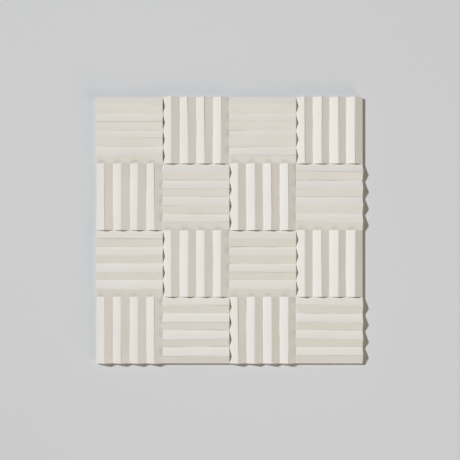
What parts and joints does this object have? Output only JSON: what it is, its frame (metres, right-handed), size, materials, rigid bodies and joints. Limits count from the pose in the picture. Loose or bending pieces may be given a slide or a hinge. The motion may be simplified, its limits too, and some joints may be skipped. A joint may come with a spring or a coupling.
{
  "type": "relief wall panel with ribbed squares",
  "caption": "Square cast wall panel in matt off-white, its face a chequer of ridged squares turned a quarter from one another, with square-cut ridge ends and a flat back for adhesive.",
  "frame": {"origin": "centre of the flat back, which lies on the floor", "axes": "+Z out of the ribbed face, +X to the right and +Y up as the face is seen in the picture"},
  "size_m": [0.6, 0.6, 0.0209],
  "materials": {
    "cast_plaster": "matt off-white cast plaster, fine grained, unpainted"
  },
  "bodies": {
    "root": {"panel": "cast_plaster"}
  },
  "joints": []
}
